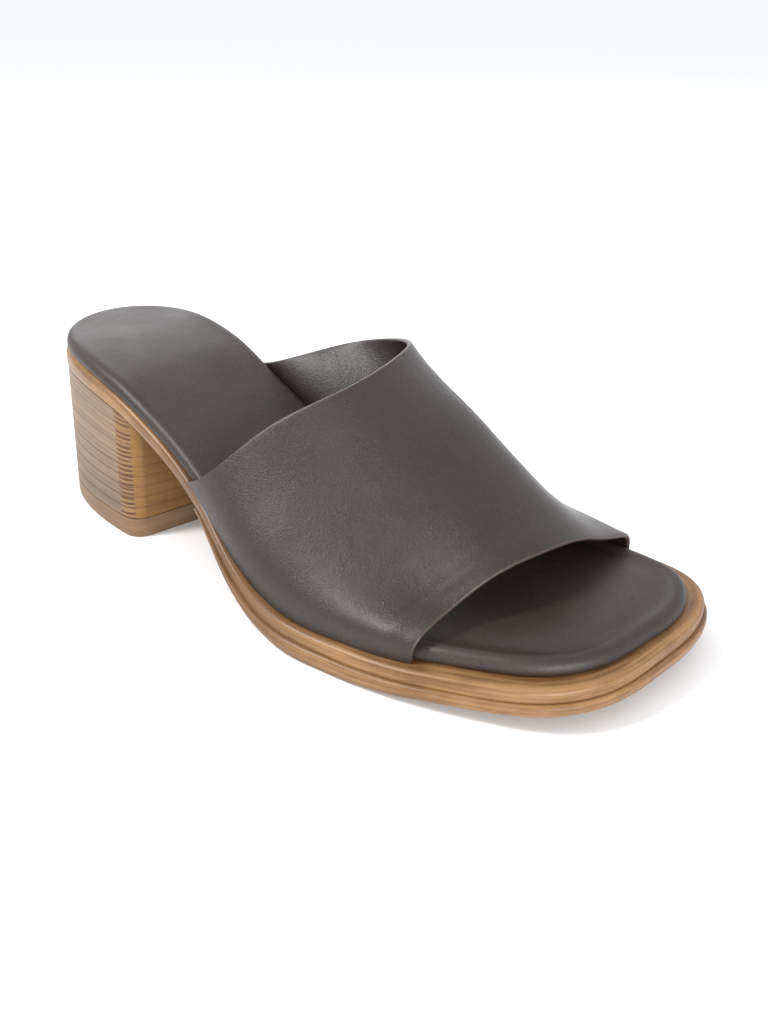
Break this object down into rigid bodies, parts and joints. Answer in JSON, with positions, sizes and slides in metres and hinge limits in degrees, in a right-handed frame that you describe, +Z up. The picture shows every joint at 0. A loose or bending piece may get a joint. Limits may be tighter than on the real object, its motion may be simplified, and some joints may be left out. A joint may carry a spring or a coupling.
{
  "type": "open-toe heeled mule",
  "caption": "Right open-toe mule: one wide hollow leather band over a padded footbed, on a tan stepped sole and a stacked block heel.",
  "frame": {"origin": "middle of the shoe's box at floor level", "axes": "+X towards the toe, +Y towards the wearer's left, which is the inner side of this right shoe, +Z up"},
  "size_m": [0.2538, 0.111, 0.077],
  "materials": {
    "sole_tan": "smooth tan sole, satin",
    "welt_tan": "smooth tan sole edge, satin",
    "stack_tan": "stacked layers with fine dark lines, satin",
    "lift_tan": "plain tan lift, matt",
    "footbed_leather": "dark brown lining leather, soft sheen",
    "band_leather": "dark brown smooth leather with a fine grain, satin"
  },
  "bodies": {
    "root": {"outsole": "sole_tan", "midsole": "welt_tan", "heel_block": "stack_tan", "top_lift": "lift_tan", "footbed": "footbed_leather", "upper": "band_leather"}
  },
  "joints": []
}
